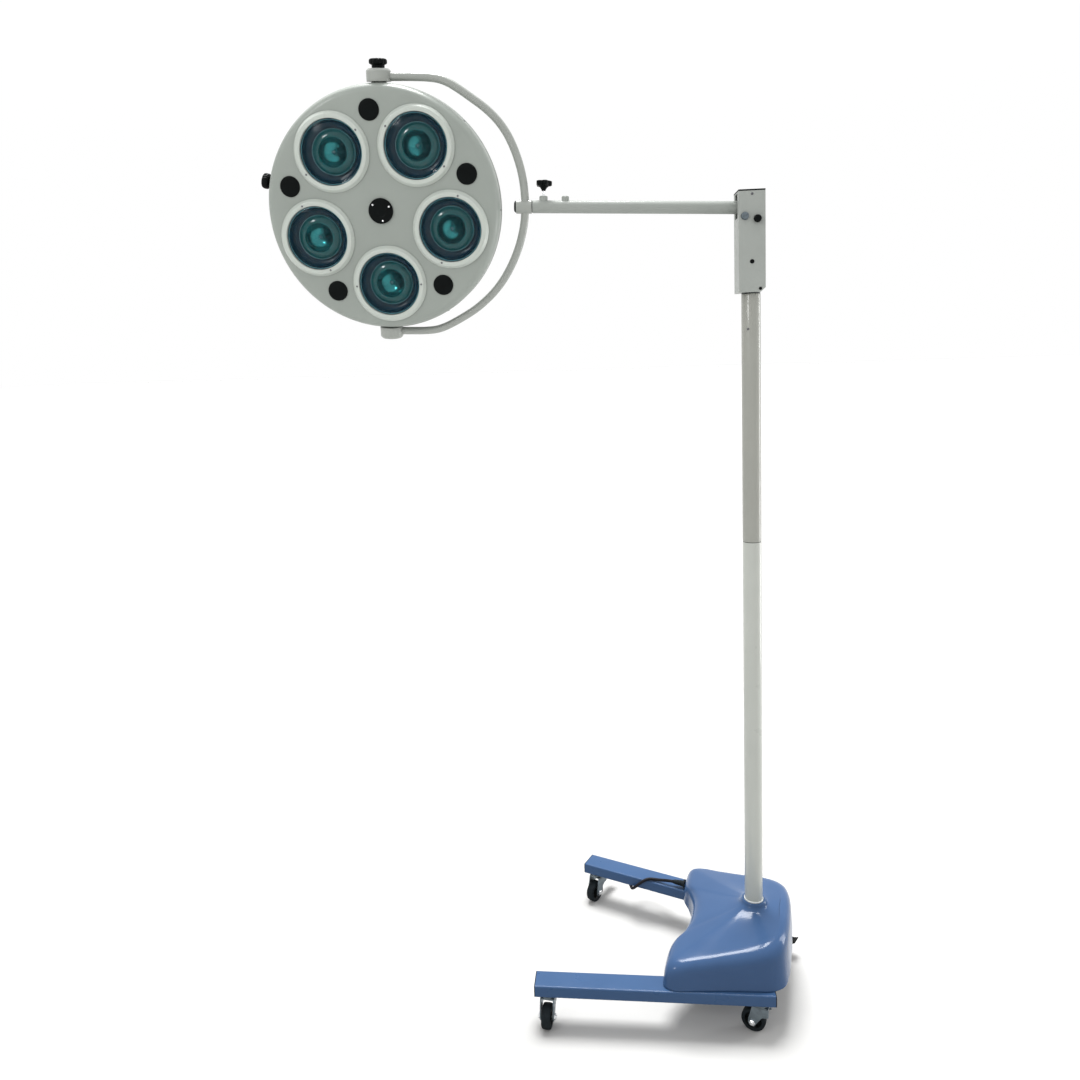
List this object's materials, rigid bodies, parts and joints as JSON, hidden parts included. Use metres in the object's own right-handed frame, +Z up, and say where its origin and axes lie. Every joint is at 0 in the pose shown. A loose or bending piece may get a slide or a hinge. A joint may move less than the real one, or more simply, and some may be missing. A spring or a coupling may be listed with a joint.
{
  "type": "mobile surgical light",
  "caption": "Floor-standing examination light on a wheeled open base: round lens head in a C-shaped yoke, on a lifting arm that swivels on a tall column.",
  "frame": {"origin": "on the floor, under the middle of the bounding box of the light without its mains cord", "axes": "+X from the open front of the base to its rear, +Y to the base's right side, +Z up"},
  "size_m": [1.043, 0.6458, 1.9785],
  "materials": {
    "white_enamel": "satin grey-white enamel on steel",
    "white_shell": "satin grey-white enamel on spun aluminium",
    "white_bezel": "glossy off-white moulding",
    "blue_enamel": "glossy mid-blue enamel on steel tube",
    "blue_cover": "glossy mid-blue gel coat",
    "black_plastic": "satin black moulding",
    "black_rubber": "matt black rubber",
    "zinc_plate": "bright zinc plate",
    "steel": "bare steel",
    "iron": "dark primer",
    "filter_glass": "polished blue-green heat filter glass",
    "reflector": "polished reflector bowls"
  },
  "bodies": {
    "base": {"left_leg": "blue_enamel", "right_leg": "blue_enamel", "left_leg_front_plug": "black_plastic", "left_leg_rear_plug": "black_plastic", "right_leg_front_plug": "black_plastic", "right_leg_rear_plug": "black_plastic", "foot_frame": "steel", "counterweight": "iron", "transformer": "iron", "base_cover": "blue_cover", "cord_gland": "black_plastic", "mains_cord": "black_rubber", "cord_coil": "black_rubber", "mains_plug": "black_plastic", "lower_column": "white_enamel", "upper_column": "white_enamel"},
    "front_left_fork": {"front_left_castor_fork": "zinc_plate"},
    "front_left_wheel": {"front_left_castor_wheel": "black_rubber"},
    "rear_left_fork": {"rear_left_castor_fork": "zinc_plate"},
    "rear_left_wheel": {"rear_left_castor_wheel": "black_rubber"},
    "front_right_fork": {"front_right_castor_fork": "zinc_plate"},
    "front_right_wheel": {"front_right_castor_wheel": "black_rubber"},
    "front_right_pedal": {"front_right_castor_pedal": "black_plastic"},
    "rear_right_fork": {"rear_right_castor_fork": "zinc_plate"},
    "rear_right_wheel": {"rear_right_castor_wheel": "black_rubber"},
    "rear_right_pedal": {"rear_right_castor_pedal": "black_plastic"},
    "column_head": {"head_box": "white_enamel", "box_cap": "black_plastic", "arm_pivot_bolt": "steel", "balance_spring": "steel"},
    "arm_brake": {"arm_brake_knob": "black_plastic"},
    "arm": {"arm_tube": "white_enamel"},
    "arm_lock": {"arm_lock_knob": "black_plastic"},
    "yoke": {"yoke_frame": "white_enamel", "hub_end_cap": "black_plastic"},
    "head_brake": {"top_brake_knob": "black_plastic"},
    "lamp_head": {"front_shell": "white_shell", "rear_shell": "white_shell", "reflector_tray": "reflector", "handle_plate": "black_plastic", "upper_pivot_pin": "steel", "lower_pivot_pin": "steel", "bezel_1": "white_bezel", "bezel_2": "white_bezel", "bezel_3": "white_bezel", "bezel_4": "white_bezel", "bezel_5": "white_bezel", "filter_glass_1": "filter_glass", "filter_glass_2": "filter_glass", "filter_glass_3": "filter_glass", "filter_glass_4": "filter_glass", "filter_glass_5": "filter_glass", "vent_plug_1": "black_plastic", "vent_plug_2": "black_plastic", "vent_plug_3": "black_plastic", "vent_plug_4": "black_plastic", "vent_plug_5": "black_plastic"},
    "focus": {"focus_knob": "black_plastic"}
  },
  "joints": [
    {"name": "head_swivel", "type": "hinge", "parent": "base", "child": "column_head", "pos_m": [0.43032, -0.00634, 1.5], "axis": [0, 0, 1], "range_deg": [-170, 170]},
    {"name": "arm_lift", "type": "hinge", "parent": "column_head", "child": "arm", "pos_m": [0.4148, -0.01023, 1.652], "axis": [-0.2426, 0.9701, 0], "range_deg": [-35, 12]},
    {"name": "arm_brake_turn", "type": "hinge", "parent": "column_head", "child": "arm_brake", "pos_m": [0.4377, -0.0045, 1.6455], "axis": [-0.2426, 0.9701, 0], "range_deg": [-90, 90]},
    {"name": "arm_lock_turn", "type": "hinge", "parent": "arm", "child": "arm_lock", "pos_m": [0.03302, -0.1057, 1.71958], "axis": [0.0481, 0.012, 0.9988], "range_deg": [-180, 180]},
    {"name": "yoke_roll", "type": "hinge", "parent": "arm", "child": "yoke", "pos_m": [-0.00378, -0.1149, 1.69343], "axis": [0.9689, 0.2423, -0.0495], "range_deg": [-100, 100]},
    {"name": "head_brake_turn", "type": "hinge", "parent": "yoke", "child": "head_brake", "pos_m": [-0.25328, -0.23809, 1.96395], "axis": [0.1012, -0.2055, 0.9734], "range_deg": [-180, 180]},
    {"name": "head_turn", "type": "hinge", "parent": "yoke", "child": "lamp_head", "pos_m": [-0.2806, -0.1826, 1.70113], "axis": [0.1012, -0.2055, 0.9734], "range_deg": [-150, 150]},
    {"name": "focus_turn", "type": "hinge", "parent": "lamp_head", "child": "focus", "pos_m": [-0.27914, -0.19027, 1.69936], "axis": [-0.9319, -0.24, 0.272], "range_deg": [-90, 90]},
    {"name": "front_left_swivel", "type": "hinge", "parent": "base", "child": "front_left_fork", "pos_m": [0.02481, -0.23331, 0.065], "axis": [0, 0, 1], "continuous": true},
    {"name": "front_left_roll", "type": "hinge", "parent": "front_left_fork", "child": "front_left_wheel", "pos_m": [0.02648, -0.24922, 0.025], "axis": [0.9945, 0.1045, 0], "continuous": true},
    {"name": "rear_left_swivel", "type": "hinge", "parent": "base", "child": "rear_left_fork", "pos_m": [0.45484, -0.14488, 0.065], "axis": [0, 0, 1], "continuous": true},
    {"name": "rear_left_roll", "type": "hinge", "parent": "rear_left_fork", "child": "rear_left_wheel", "pos_m": [0.43908, -0.1421, 0.025], "axis": [-0.1736, -0.9848, 0], "continuous": true},
    {"name": "front_right_swivel", "type": "hinge", "parent": "base", "child": "front_right_fork", "pos_m": [0.02481, 0.22062, 0.065], "axis": [0, 0, 1], "continuous": true},
    {"name": "front_right_roll", "type": "hinge", "parent": "front_right_fork", "child": "front_right_wheel", "pos_m": [0.01882, 0.20579, 0.025], "axis": [0.9272, -0.3746, 0], "continuous": true},
    {"name": "front_right_brake", "type": "hinge", "parent": "front_right_fork", "child": "front_right_pedal", "pos_m": [0.02949, 0.23221, 0.05], "axis": [0.9272, -0.3746, 0], "range_deg": [-15, 0]},
    {"name": "rear_right_swivel", "type": "hinge", "parent": "base", "child": "rear_right_fork", "pos_m": [0.45484, 0.13219, 0.065], "axis": [0, 0, 1], "continuous": true},
    {"name": "rear_right_roll", "type": "hinge", "parent": "rear_right_fork", "child": "rear_right_wheel", "pos_m": [0.43962, 0.13714, 0.025], "axis": [-0.309, -0.9511, 0], "continuous": true},
    {"name": "rear_right_brake", "type": "hinge", "parent": "rear_right_fork", "child": "rear_right_pedal", "pos_m": [0.46673, 0.12833, 0.05], "axis": [-0.309, -0.9511, 0], "range_deg": [-15, 0]}
  ]
}
